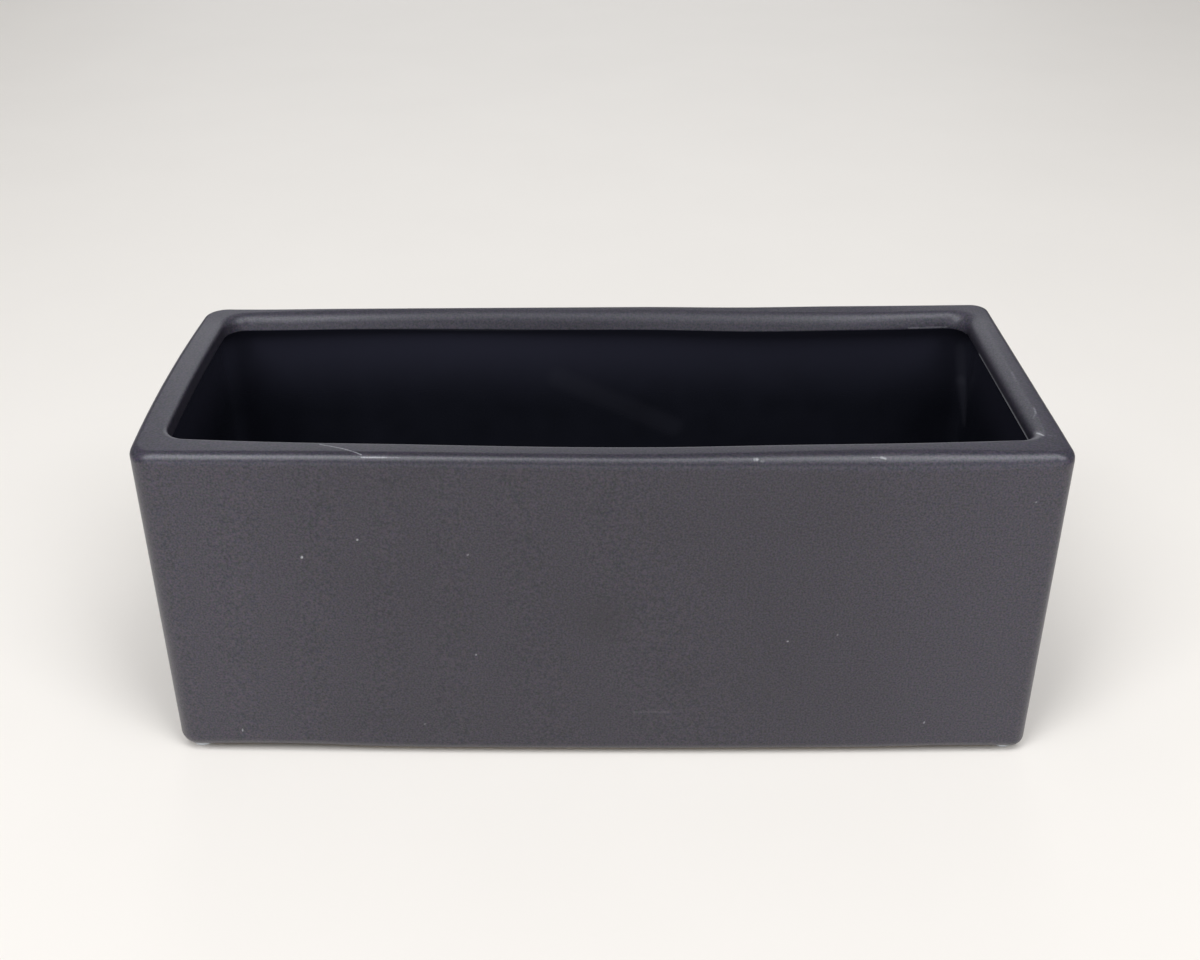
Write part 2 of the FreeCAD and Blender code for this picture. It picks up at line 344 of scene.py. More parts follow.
APART = 50.0
edit(form)
raise_mouth(form, -APART)
print("rim top bridges", pick_loops(form, ("outside", RIM), ("mouth", RIM - APART)), "edges")
bpy.ops.mesh.bridge_edge_loops()
print("lip bridges", pick_loops(form, ("mouth", LIP - APART), ("basin", LIP)), "edges")
bpy.ops.mesh.bridge_edge_loops()
raise_mouth(form, APART)
for open_loop in (("basin", FLOOR), ("outside", GLAZED_BASE)):
    pick_loops(form, open_loop)
    bpy.ops.mesh.edge_face_add()
bpy.ops.mesh.select_all(action="SELECT")
bpy.ops.mesh.normals_make_consistent(inside=False)
close()
print("closed form:", len(form.data.polygons), "faces")

# %% [markdown]
# ## A radius for every edge
# Slip and glaze never leave a sharp edge. Rounding the edges one after another would leave knots
# where they meet, so each edge only gets a bevel weight now, in proportion to its own radius, and
# one modifier rounds them all later. The rim was sponged by hand, so its radius differs from side
# to side: it is tight at the left and full at the back, and along the front it widens to the
# right. The foot of the front wall is rounder near its two ends. In a corner the radius passes
# from one side's value to the next as the edge turns.

# %% Weigh the edges by their radii
WIDEST = 7.4
LOOPS = {
    "rim outer": ("outside", RIM),
    "rim inner": ("mouth", RIM),
    "lip edge": ("mouth", LIP),
    "lip cove": ("basin", LIP),
    "basin floor": ("basin", FLOOR),
    "base": ("outside", GLAZED_BASE),
}

# Smooth bumps along an edge, each as (middle, height, reach) in millimetres
FRONT_WIDENS = ((97, 3.0, 30), (0, -0.5, 40))
BACK_TIGHTENS = ((80, 1.9, 28), (-45, 1.7, 60))
BASE_WIDENS = ((-150, 1.0, 40), (-112, 2.6, 19), (125, 1.6, 15))
BASE_END_WIDENS = ((-60, 1.0, 40),)


def swell(bumps, place):
    """The sum of all the bumps at one place along an edge, in millimetres."""
    total = 0
    for middle, height, reach in bumps:
        total += height * math.exp(-(((place - middle) / reach) ** 2))
    return total


def radius_at(name, edge):
    """The radius of one edge of a loop, in millimetres."""
    radii = ROUNDINGS[name]
    if isinstance(radii, float):
        return radii
    first, second = (corner.co / MM for corner in edge.verts)
    middle, along = (first + second) / 2, (second - first).normalized()
    at_left, at_front = middle.x < 0, middle.y < 0
    across = radii["left"] if at_left else radii["right"]
    lengthwise = radii["front"] if at_front else radii["back"]
    if name == "rim outer" and at_front:
        lengthwise += swell(FRONT_WIDENS, middle.x)
    if name == "rim inner" and not at_front:
        lengthwise -= swell(BACK_TIGHTENS, middle.x)
    if name == "base" and at_front:
        lengthwise += swell(BASE_WIDENS, middle.x)
    if name == "base" and at_left:
        across += swell(BASE_END_WIDENS, middle.y)
    return round(lengthwise * along.x**2 + across * along.y**2, 2)


edit(form)
for name, loop in LOOPS.items():
    count = pick_loops(form, loop)
    radii = {}
    for edge in bmesh.from_edit_mesh(form.data).edges:
        if edge.select:
            radii.setdefault(radius_at(name, edge), set()).add(edge.index)
    for radius, members in radii.items():
        pick("EDGE", lambda edge: edge.index in members)
        bpy.ops.transform.edge_bevelweight(value=radius / WIDEST)
    print(f"{name}: {min(radii)} to {max(radii)} mm on {count} edges")
close()

# %% [markdown]
# ## A rim out of true
# The hand that trimmed the rim left its edges askew. The inner edge stands back in the middle of
# the back wall and lies low at the right, and the front edge leans out in one place and in at
# another. These are slow waves, so they go in before the rounding, while each column of the form
# still has one corner to move: the rounding then follows them without a kink.

# %% Move the edges of the rim
MOUTH_SIDE = 40
OUTER_FRONT = -50
TOP = RIM - 0.1

# More bumps along the vessel: which edge moves, and which way
INNER_EDGE_BACK = ((-62, 3.9, 55), (-120, 1.6, 28), (30, 1.9, 45))
INNER_EDGE_LOW = ((100, 1.3, 30),)
INNER_EDGE_RIGHT = ((143, 0.5, 8),)
INNER_EDGE_FRONT = ((-62, 0.6, 30), (62, 0.5, 30))
LIP_BACK = ((-50, 1.4, 55), (80, -1.4, 50))
FRONT_EDGE_LEANS = ((-90, 0.5, 40), (10, -0.45, 45), (100, 0.2, 30))
FRONT_EDGE_LOW = ((15, 0.35, 62), (125, 0.25, 30))


def ring_places(name):
    """The places of all the corners of one ring."""
    mesh = bmesh.from_edit_mesh(form.data)
    belongs = in_ring(mesh, form, name)
    return [corner.co.copy() for corner in mesh.verts if belongs(corner)]


def move_corner(place, move):
    """Move the one corner at a place by millimetres along x, y and z."""
    pick("VERT", lambda corner: (corner.co - place).length < NEAR)
    bpy.ops.transform.translate(value=Vector(move) * MM)


edit(form)
mouth_places = ring_places("mouth")
for place in mouth_places:
    x, y, z = place / MM
    move = Vector((swell(INNER_EDGE_RIGHT, x) if z > TOP else 0, 0, 0))
    if y < -MOUTH_SIDE:
        move.y = swell(INNER_EDGE_FRONT, x)
    elif y > MOUTH_SIDE and z > TOP:
        move.y, move.z = swell(INNER_EDGE_BACK, x), -swell(INNER_EDGE_LOW, x)
    elif y > MOUTH_SIDE:
        move.y = swell(LIP_BACK, x)
    move_corner(place, move)
front_places = [
    place for place in ring_places("outside") if place.y < OUTER_FRONT * MM and place.z > TOP * MM
]
for place in front_places:
    x = place.x / MM
    move_corner(place, (0, swell(FRONT_EDGE_LEANS, x), -swell(FRONT_EDGE_LOW, x)))
close()
print("moved", len(mouth_places), "corners of the mouth and", len(front_places), "of the front edge")

# %% [markdown]
# ## All edges rounded at once
# One Bevel modifier rounds every weighted edge in a single pass, the 5 mm curve at the basin floor
# and the 0.8 mm edge of the lip alike. Its width is that of the widest edge, and each weight takes
# its share of it. Clamping stays off, because it would hold all edges to the tightest place.

# %% Round every edge
EDGE_STEPS = 7

apply_modifier(
    form,
    "BEVEL",
    limit_method="WEIGHT",
    width=WIDEST * MM,
    segments=EDGE_STEPS,
    profile=CIRCULAR,
    use_clamp_overlap=False,
)
print("rounded form:", len(form.data.polygons), "faces")

# %% [markdown]
# ## Where each finish goes
# The glazes were sprayed on the fired clay. The matte glaze runs over the rim and stops partway
# down the lip, where the shiny lining begins. Its lower edge was wiped back, so that the vessel
# wouldn't stick to the kiln shelf. The edge loops that the rounding left lie close enough to
# those lines, so nothing has to be cut: the faces are picked by their height and by the way that
# they look, and get one of three material slots.

# %% Mark the three finishes on the form
ABOVE_UNDERSIDE = FLOOR / 2
STRAIGHT_DOWN = -0.98

matte_glaze = bpy.data.materials.new("Matte charcoal glaze")
lining_glaze = bpy.data.materials.new("Gloss black lining glaze")
fired_clay = bpy.data.materials.new("Fired stoneware clay")
for finish in (matte_glaze, lining_glaze, fired_clay):
    finish.use_nodes = True
    form.data.materials.append(finish)


def faces_outwards(face):
    """True on the outside walls, false on the walls of the mouth and basin."""
    middle = face.calc_center_median()
    return middle.x * face.normal.x + middle.y * face.normal.y > NEAR


def in_basin(face):
    """True between the floor and the height at which the two coats meet, on the inside."""
    height = face.calc_center_median().z / MM
    return ABOVE_UNDERSIDE < height < COATS_MEET and not faces_outwards(face)


def underneath(face):
    """True on the underside and the first strip of its rounded edge."""
    height = face.calc_center_median().z / MM
    return height < ABOVE_UNDERSIDE and face.normal.z < STRAIGHT_DOWN


edit(form)
for slot_number, belongs in ((1, in_basin), (2, underneath)):
    count = pick("FACE", belongs)
    form.active_material_index = slot_number
    bpy.ops.object.material_slot_assign()
    print(form.data.materials[slot_number].name, "on", count, "faces")
close()

# %% [markdown]
# ## A hand-finished rim
# A cast rim is trimmed and sponged by hand, so it is never quite level, and its lip hangs a little
# lower in one place than in another. Proportional editing suits soft dips in the top: one point is
# pressed down and its surroundings follow. The hanging edge of the lip needs a long wave that
# leaves the top of the rim alone. So a vertex group holds how far each corner at the back of the
# lip sinks, more the lower it lies, and a Displace modifier lowers them all by that.

# %% Let the rim wander
# Each dip is (place, depth, reach), and each part of the sag is a bump along the vessel
RIM_DIPS = (
    ((60, 57, RIM), -0.45, 42),
    ((-128, 57, RIM), -0.2, 30),
    ((20, -56, RIM), -0.15, 50),
)
LIP_SAG = ((75, 0.85, 60), (125, 0.5, 28), (-25, 0.9, 48))
MOST_SAG = 2.0
SAG_BEGINS, SAG_FULL = RIM - 1, LIP + 1
LIP_BACK_FROM, LIP_BACK_TO = 46, 58
LIP_HALF_LENGTH = 149
BELOW_LIP = 100

edit(form)
for place, dip, reach in RIM_DIPS:
    target = Vector(place) * MM
    corners = bmesh.from_edit_mesh(form.data).verts
    nearest = min((corner.co - target).length for corner in corners)
    pick("VERT", lambda corner: (corner.co - target).length < nearest + NEAR)
    bpy.ops.transform.translate(
        value=(0, 0, dip * MM),
        use_proportional_edit=True,
        proportional_edit_falloff="SMOOTH",
        proportional_size=reach * MM,
    )
close()

sag = form.vertex_groups.new(name="lip sag")
for corner in form.data.vertices:
    x, y, z = corner.co / MM
    if LIP_BACK_FROM < y < LIP_BACK_TO and abs(x) < LIP_HALF_LENGTH and z > BELOW_LIP:
        share = min(max((SAG_BEGINS - z) / (SAG_BEGINS - SAG_FULL), 0.0), 1.0)
        sag.add([corner.index], share * swell(LIP_SAG, x) / MOST_SAG, "REPLACE")
apply_modifier(
    form, "DISPLACE", direction="Z", mid_level=0.0, strength=-MOST_SAG * MM, vertex_group="lip sag"
)
form.vertex_groups.clear()
print("lip hangs up to", round(max(swell(LIP_SAG, x) for x in range(-150, 150)), 2), "mm lower")

# %% [markdown]
# ## Clay and glaze as separate pieces
# The clay is a copy of the glazed form with every face moved in by the thickness of the glaze,
# which Shrink/Fatten does. The coats are what is left of the form once it is separated by material:
# the bare part goes, and Solidify gives the other two their 0.4 mm inwards, down to the clay.
# Weighted normals then keep the wide flat walls flat in the light, next to their small
# roundings.

# %% Part the clay from its two coats
SMOOTH_BELOW = math.radians(40)
LARGE_FACES_LEAD = 80


def finish_mesh(piece):
    """Shade a piece smooth, with the large faces leading the normals."""
    select_only(piece)
    bpy.ops.object.shade_smooth_by_angle(angle=SMOOTH_BELOW)
    apply_modifier(piece, "WEIGHTED_NORMAL", keep_sharp=True, weight=LARGE_FACES_LEAD)
    print(f"{piece.name}: {len(piece.data.vertices)} corners, {len(piece.data.polygons)} faces")


select_only(form)
bpy.ops.object.duplicate()
clay = bpy.context.object
clay.name = "clay_body"
edit(clay)
bpy.ops.mesh.select_all(action="SELECT")
bpy.ops.transform.shrink_fatten(value=-GLAZE * MM, use_even_offset=True)
close()
clay.data.materials.clear()
clay.data.materials.append(fired_clay)

edit(form)
bpy.ops.mesh.select_all(action="SELECT")
bpy.ops.mesh.separate(type="MATERIAL")
close()
coats = {piece.data.materials[0].name: piece for piece in bpy.context.selected_objects}
bpy.data.objects.remove(coats.pop(fired_clay.name))
matte = coats[matte_glaze.name]
lining = coats[lining_glaze.name]
matte.name = "matte_glaze_coat"
lining.name = "gloss_glaze_lining"
for coat in (matte, lining):
    apply_modifier(coat, "SOLIDIFY", thickness=GLAZE * MM, offset=-1, use_even_offset=True)
for piece in (clay, matte, lining):
    finish_mesh(piece)

# %% [markdown]
# ## Clear bumpers
# Four soft polyurethane bumpers, 8 mm across, are stuck under the corners. One could be spun from
# its profile, but a cylinder is round already, and only its two edges need work: the one that
# stands on the table is well rounded, and the one at the adhesive is only broken. The finished
# bumper is then copied to each corner, each copy with its own mesh, and the pattern is thrown out.

# %% Model one bumper and copy it
FOOT_RADIUS = 4.0
FOOT_HEIGHT = 1.65
FOOT_STEPS = 48
FOOT_PLACES = {
    "front_left": (-144.5, -50.7),
    "front_right": (146.7, -55.3),
    "back_left": (-144.5, 55.3),
    "back_right": (146.7, 55.3),
}
FOOT_EDGES = ((0.0, 0.9, 6), (FOOT_HEIGHT, 0.12, 2))  # each as (height, radius, steps)


def copy_bumper(pattern, name, x, y):
    """A copy of the finished bumper at x, y, with a mesh of its own."""
    select_only(pattern)
    bpy.ops.object.duplicate()
    piece = bpy.context.object
    piece.name = f"{name}_bumper"
    edit(piece)
    bpy.ops.mesh.select_all(action="SELECT")
    bpy.ops.transform.translate(value=(x * MM, y * MM, 0))
    close()
    return piece


deselect_objects()
bpy.ops.mesh.primitive_cylinder_add(
    vertices=FOOT_STEPS, radius=FOOT_RADIUS * MM, depth=FOOT_HEIGHT * MM
)
pattern = bpy.context.object
pattern.name = "bumper_pattern"
edit(pattern)
bpy.ops.transform.translate(value=(0, 0, FOOT_HEIGHT / 2 * MM))
for height, radius, steps in FOOT_EDGES:
    level = height * MM
    pick("EDGE", lambda edge: all(abs(corner.co.z - level) < NEAR for corner in edge.verts))
    bpy.ops.mesh.bevel(
        offset=radius * MM, offset_type="OFFSET", segments=steps, profile=CIRCULAR, affect="EDGES"
    )
close()
finish_mesh(pattern)
bumpers = {name: copy_bumper(pattern, name, *place) for name, place in FOOT_PLACES.items()}
bpy.data.objects.remove(pattern)
print("bumpers:", ", ".join(bumpers))

# %% [markdown]
# ## Building materials
# A few helpers serve every material. One turns a colour picked on screen, an sRGB hex value, into
# the linear numbers that Blender's shaders work with. One adds a node, sets it up and fills its
# inputs with values or with links from other nodes, and one fills the inputs of the shader that
# every material already has.

# %% Helpers for materials
RGBA = {"data_type": "RGBA"}
SMOOTH = {"interpolation_type": "SMOOTHSTEP"}

# A Mix node's colours and a vector Map Range's limits share their names with plain numbers, so
# these sockets are found by their place in the list.
FIRST, SECOND, MIXED = 6, 7, 2
FROM_LOW, FROM_HIGH = 7, 8


def colour(code):
    """Linear red, green, blue and alpha of an sRGB hex code."""
    channels = [int(code[place : place + 2], 16) / 255 for place in (1, 3, 5)]
    return [c / 12.92 if c <= 0.04045 else ((c + 0.055) / 1.055) ** 2.4 for c in channels] + [1.0]


def fill(material, node, inputs):
    """Fill a node's inputs with values or links."""
    for name, value in inputs.items():
        if isinstance(value, bpy.types.NodeSocket):
            material.node_tree.links.new(value, node.inputs[name])
        else:
            node.inputs[name].default_value = value


def add_node(material, kind, settings=None, inputs=None):
    """Add a node with its settings, and fill its inputs with values or links."""
    node = material.node_tree.nodes.new(kind)
    for name, value in (settings or {}).items():
        setattr(node, name, value)
    fill(material, node, inputs or {})
    return node


def set_shader(material, inputs):
    """Fill the inputs of the material's own Principled shader."""
    fill(material, material.node_tree.nodes["Principled BSDF"], inputs)


print("a mid grey is", [round(c, 3) for c in colour("#777777")])

# %% [markdown]
# ## Matte charcoal glaze
# The outside is a sprayed dry glaze, rich in magnesia. Its colour is a charcoal with a touch of
# violet, which clouds softly where the spray lay thicker and turns paler towards both ends. Many
# fine crystals give it a grain. The grain of a real one is under a tenth of a millimetre, too fine
# to show here, so it is drawn a little coarser. It could be mixed in as a second colour, but
# Overlay lets it lighten and darken the colour below it alike.

# %% Colour of the outside and rim
GLAZE_INDEX = 1.5
CLOUD_SIZE = 28.0
GRAIN_SIZE = 0.7
PEEL_SIZE = 5.0
PALER_FROM, PALER_TO, PALEST = 60, 150, 0.5  # from and to how far out the colour turns paler, and how far
GRAIN_HUES = 0.3  # how much of the grain is a change of hue
GRAIN_DARK, GRAIN_LIGHT = 0.2, 0.8  # the part of the noise that is stretched to full contrast

spot = add_node(matte_glaze, "ShaderNodeTexCoord").outputs["Object"]
clouds, grain, peel = (
    add_node(
        matte_glaze,
        "ShaderNodeTexNoise",
        inputs={"Vector": spot, "Scale": 1 / (size * MM), "Detail": detail},
    )
    for size, detail in ((CLOUD_SIZE, 3.0), (GRAIN_SIZE, 3.0), (PEEL_SIZE, 1.0))
)
cloudy = add_node(
    matte_glaze,
    "ShaderNodeMix",
    RGBA,
    {"Factor": clouds.outputs["Fac"], FIRST: colour("#2c2932"), SECOND: colour("#333039")},
)
axes = add_node(matte_glaze, "ShaderNodeSeparateXYZ", inputs={"Vector": spot})
from_middle = add_node(
    matte_glaze, "ShaderNodeMath", {"operation": "ABSOLUTE"}, {0: axes.outputs["X"]}
).outputs["Value"]
toward_ends = add_node(
    matte_glaze,
    "ShaderNodeMapRange",
    SMOOTH,
    {"Value": from_middle, "From Min": PALER_FROM * MM, "From Max": PALER_TO * MM, "To Max": PALEST},
)
sprayed = add_node(
    matte_glaze,
    "ShaderNodeMix",
    RGBA,
    {"Factor": toward_ends.outputs["Result"], FIRST: cloudy.outputs[MIXED], SECOND: colour("#3f3c46")},
)
crystals = add_node(
    matte_glaze,
    "ShaderNodeMix",
    RGBA,
    {"Factor": GRAIN_HUES, FIRST: grain.outputs["Fac"], SECOND: grain.outputs["Color"]},
)
strong_grain = add_node(
    matte_glaze,
    "ShaderNodeMapRange",
    {"data_type": "FLOAT_VECTOR"},
    {"Vector": crystals.outputs[MIXED], FROM_LOW: [GRAIN_DARK] * 3, FROM_HIGH: [GRAIN_LIGHT] * 3},
)
grainy = add_node(
    matte_glaze,
    "ShaderNodeMix",
    {**RGBA, "blend_type": "OVERLAY"},
    {"Factor": 1.0, FIRST: sprayed.outputs[MIXED], SECOND: strong_grain.outputs["Vector"]},
)
print("clouds", CLOUD_SIZE, "mm wide, grain", GRAIN_SIZE, "mm wide")

# %% [markdown]
# ## Shine of the matte glaze
# The crystals scatter light widely, so the eye sees no reflections in the walls, only a soft sheen
# along the rim, where the light comes in at a low angle. The spray fell drier towards the back, and
# driest in the middle of the back wall, so the roughness rises there. Two bumps give the surface
# its relief: the slow wave of a sprayed coat, like orange peel, and the grain.

# %% Roughness and relief of the outside and rim
DRY_FROM, DRY_TO = 42, 56  # towards the back
MIDDLE_TO, ENDS_FROM = 50, 110  # towards either end
FRONT_DRYNESS, BACK_END_DRYNESS, BACK_MIDDLE_DRYNESS = 0.30, 0.39, 0.53
CLOUD_DRYNESS = 0.08
RELIEF = {"Distance": 0.03 * MM, "Strength": 0.6}

back_dryness = add_node(
    matte_glaze,
    "ShaderNodeMapRange",
    SMOOTH,
    {
        "Value": from_middle,
        "From Min": MIDDLE_TO * MM,
        "From Max": ENDS_FROM * MM,
        "To Min": BACK_MIDDLE_DRYNESS,
        "To Max": BACK_END_DRYNESS,
    },
)
dryness = add_node(
    matte_glaze,
    "ShaderNodeMapRange",
    SMOOTH,
    {
        "Value": axes.outputs["Y"],
        "From Min": DRY_FROM * MM,
        "From Max": DRY_TO * MM,
        "To Min": FRONT_DRYNESS,
        "To Max": back_dryness.outputs["Result"],
    },
)
uneven = add_node(
    matte_glaze,
    "ShaderNodeMath",
    {"operation": "MULTIPLY_ADD"},
    {0: clouds.outputs["Fac"], 1: CLOUD_DRYNESS, 2: dryness.outputs["Result"]},
)
wavy = add_node(matte_glaze, "ShaderNodeBump", inputs={"Height": peel.outputs["Fac"], **RELIEF})
rough = add_node(
    matte_glaze,
    "ShaderNodeBump",
    inputs={"Height": grain.outputs["Fac"], "Normal": wavy.outputs["Normal"], **RELIEF},
)
set_shader(
    matte_glaze,
    {"IOR": GLAZE_INDEX, "Roughness": uneven.outputs["Value"], "Normal": rough.outputs["Normal"]},
)
print("roughness from", FRONT_DRYNESS, "to", round(BACK_MIDDLE_DRYNESS + CLOUD_DRYNESS, 2))

# %% [markdown]
# ## Masks for marks
# A mark could be painted on an image, but that needs the surface unwrapped. Here each mark is a
# short line in space, and the nodes below measure how far a point of the surface lies from it: the
# point is dropped on the line, held between its ends, and the distance to it fades the mark out.

# %% A mark along a line
MARK_CORE = 0.2  # the share of a mark's width that shows in full


def mark_mask(material, place, start, end, width, strength):
    """How strongly a mark along the line from start to end shows at a place, from 0 to 1."""
    first, line = Vector(start) * MM, (Vector(end) - Vector(start)) * MM
    from_start = add_node(
        material, "ShaderNodeVectorMath", {"operation": "SUBTRACT"}, {0: place, 1: first}
    ).outputs["Vector"]
    along_line = add_node(
        material,
        "ShaderNodeVectorMath",
        {"operation": "DOT_PRODUCT"},
        {0: from_start, 1: line / line.length_squared},
    ).outputs["Value"]
    held = add_node(material, "ShaderNodeClamp", inputs={"Value": along_line}).outputs["Result"]
    nearest = add_node(
        material, "ShaderNodeVectorMath", {"operation": "SCALE"}, {0: line, "Scale": held}
    ).outputs["Vector"]
    away = add_node(
        material, "ShaderNodeVectorMath", {"operation": "DISTANCE"}, {0: from_start, 1: nearest}
    ).outputs["Value"]
    edge, core = width * MM, MARK_CORE * width * MM
    return add_node(
        material,
        "ShaderNodeMapRange",
        SMOOTH,
        {"Value": away, "From Min": edge, "From Max": core, "To Max": strength},
    ).outputs["Result"]


print("a mark shows in full over", MARK_CORE, "of its width")

# %% [markdown]
# ## Marks of use, painted shade and painted highlights
# Dry glaze is easily marked: a ring or a vase dragged over the rim leaves a pale metal-coloured
# line that won't wash off, and small grit shows as pale specks. A noise breaks the lines up. Three
# marks are painted light: a painted shade darkens the face of the lip at the right, and painted
# highlights draw pale lines along the lower edge of the lip, at the right and at the back. A soft
# smudge darkens the middle of the front wall.

# %% Where the marks are
# Each mark is (start, end, width, strength)
MARKS_AND_GLINTS = (
    ((-90.2, -50.9, 122.7), (-82.6, -53.8, 122.7), 0.35, 0.35),
    ((-82.6, -53.8, 122.7), (-76.1, -57.2, 122.3), 0.35, 0.45),
    ((-75.9, -58.0, 121.7), (-68.0, -58.2, 121.7), 0.4, 0.36),
    ((-68.0, -58.2, 121.7), (-63.5, -58.4, 121.7), 0.3, 0.12),
    ((49.9, -60.6, 121.4), (50.5, -60.6, 121.4), 0.8, 0.4),
    ((51.9, -61.0, 120.9), (52.5, -61.0, 120.9), 0.6, 0.15),
    ((87.6, -59.8, 121.4), (90.0, -59.8, 121.4), 0.4, 0.12),
    ((90.3, -59.8, 121.4), (91.7, -60.1, 121.1), 0.6, 0.36),
    ((147.7, -0.4, 122.7), (147.2, -7.6, 122.6), 0.6, 0.06),
    ((147.8, -28.5, 122.7), (147.4, -32.2, 122.7), 0.5, 0.2),
    ((147.4, -32.2, 122.7), (145.7, -35.1, 122.3), 0.5, 0.12),
    ((144.3, -44.4, 121.8), (145.4, -48.1, 122.6), 0.6, 0.5),
    ((147.1, -47.8, 122.7), (149.5, -48.5, 122.6), 0.5, 0.1),
    # Painted highlights: pale lines along the lower edge of the lip, at the right and at the back
    ((143.0, -41.0, 117.3), (143.0, -8.0, 117.3), 0.7, 0.85),
    ((143.0, -8.0, 117.3), (143.0, 26.0, 117.3), 0.6, 0.7),
    ((122.0, 51.8, 116.8), (136.5, 51.9, 117.0), 0.6, 0.15),
    ((-98.8, -59.0, 84.3), (-98.7, -59.0, 84.6), 0.6, 0.8),
    ((-79.7, -59.5, 91.4), (-79.6, -59.5, 91.6), 0.5, 0.5),
    ((-127.9, -58.4, 10.2), (-127.8, -58.4, 10.9), 0.45, 0.4),
    ((-62.2, -60.3, 14.1), (-62.1, -60.3, 14.2), 0.5, 0.2),
    ((-42.6, -60.7, 44.9), (-42.5, -60.7, 45.0), 0.5, 0.4),
    ((-43.5, -60.7, 86.0), (-43.4, -60.7, 86.1), 0.5, 0.3),
    ((64.6, -62.3, 50.7), (64.7, -62.3, 50.8), 0.5, 0.4),
    ((81.5, -62.3, 53.3), (81.6, -62.3, 53.4), 0.5, 0.2),
    ((115.5, -62.3, 14.5), (115.6, -62.3, 14.8), 0.5, 0.35),
    ((141.7, -62.2, 105.6), (141.8, -62.2, 105.7), 0.5, 0.25),
    ((11.9, -61.7, 20.0), (24.3, -61.9, 20.0), 0.7, 0.04),
)
# Painted shade: a dark band on the face of the lip at the right, as (start, end, width, strength)
PAINTED_LIP_SHADE = ((143.0, -42.0, 118.4), (143.0, 44.0, 118.4), 3.0, 0.42)
SMUDGE_PLACE, SMUDGE_REACH, SMUDGE_STRENGTH = Vector((2.0, -61.6, 59.8)), 16.0, 0.35
# The thin coat in this count is the painted shade on the right lip
print(len(MARKS_AND_GLINTS), "marks, a thin coat and a smudge")

# %% [markdown]
# ## Laying the marks on
# All pale marks, the painted highlights along the lip among them, share one colour, so their masks
# are first joined by taking the strongest at each place. The grain breaks the joined mask up. Then
# three layers go over the colour of the glaze, one on the other: the smudge, the painted shade on
# the right lip, and last the pale marks.

# %% Scratches, scuffs, specks, painted highlights and painted shade
GAPS_BELOW, WHOLE_ABOVE = 0.35, 0.55  # where in the noise of the grain a mark breaks up
LEFT_IN_GAPS = 0.55

# Joins the masks of the worn marks and of the painted highlights
wear_and_glints = None
for mark in MARKS_AND_GLINTS:
    mask = mark_mask(matte_glaze, spot, *mark)
    if wear_and_glints:
        mask = add_node(
            matte_glaze, "ShaderNodeMath", {"operation": "MAXIMUM"}, {0: wear_and_glints, 1: mask}
        ).outputs["Value"]
    wear_and_glints = mask
patchy = add_node(
    matte_glaze,
    "ShaderNodeMapRange",
    inputs={
        "Value": grain.outputs["Fac"],
        "From Min": GAPS_BELOW,
        "From Max": WHOLE_ABOVE,
        "To Min": LEFT_IN_GAPS,
    },
)
broken = add_node(
    matte_glaze, "ShaderNodeMath", {"operation": "MULTIPLY"}, {0: wear_and_glints, 1: patchy.outputs["Result"]}
)
from_smudge = add_node(
    matte_glaze, "ShaderNodeVectorMath", {"operation": "DISTANCE"}, {0: spot, 1: SMUDGE_PLACE * MM}
)
smudge = add_node(
    matte_glaze,
    "ShaderNodeMapRange",
    SMOOTH,
    {
        "Value": from_smudge.outputs["Value"],
        "From Min": SMUDGE_REACH * MM,
        "From Max": 0.0,
        "To Max": SMUDGE_STRENGTH,
    },
)
# The painted shade on the face of the lip at the right
painted_lip_shade = mark_mask(matte_glaze, spot, *PAINTED_LIP_SHADE)
marked = grainy.outputs[MIXED]
# Layers: the smudge, the painted shade on the right lip, then pale worn marks and painted highlights
for mask, shade in (
    (smudge.outputs["Result"], "#232126"),
    (painted_lip_shade, "#121217"),
    (broken.outputs["Value"], "#c4c4c8"),
):
    marked = add_node(
        matte_glaze, "ShaderNodeMix", RGBA, {"Factor": mask, FIRST: marked, SECOND: colour(shade)}
    ).outputs[MIXED]
set_shader(matte_glaze, {"Base Color": marked})
print(matte_glaze.name, "has", len(matte_glaze.node_tree.nodes), "nodes")

# %% [markdown]
# ## Gloss black lining
# The basin has to hold water, so its glaze is a true glass: black with iron and manganese,
# fused smooth, with a slow ripple where it ran a little before it set. Glass has an index near
# 1.5 and here a low roughness, so the eye sees soft reflections in the dark, and the depth of the
# basin keeps it black. Painted light makes it greyer just below the lip, where more light reaches,
# and three faint pale streaks are painted reflections.

# %% Glaze for the basin
RIPPLE_SIZE = 14.0
# How far below the lip the painted light reaches
PAINTED_LIGHT_DEPTH = 38.0
# Each painted reflection is (start, end, width, strength): a diagonal pale streak on the back wall,
# then a pale streak down the back right corner
PAINTED_REFLECTIONS = (
    ((-15.0, 57.2, 93.5), (31.0, 57.2, 71.5), 6.5, 0.08),
    ((144.4, 56.9, 106.0), (146.6, 55.6, 92.0), 3.0, 0.18),
    ((146.6, 55.6, 92.0), (148.5, 51.0, 76.0), 3.5, 0.24),
)

spot = add_node(lining_glaze, "ShaderNodeTexCoord").outputs["Object"]
ripple = add_node(
    lining_glaze,
    "ShaderNodeTexNoise",
    inputs={"Vector": spot, "Scale": 1 / (RIPPLE_SIZE * MM), "Detail": 1.0},
).outputs["Fac"]
black = add_node(
    lining_glaze,
    "ShaderNodeMix",
    RGBA,
    {"Factor": ripple, FIRST: colour("#14151b"), SECOND: colour("#1c1d25")},
)
height = add_node(lining_glaze, "ShaderNodeSeparateXYZ", inputs={"Vector": spot}).outputs["Z"]
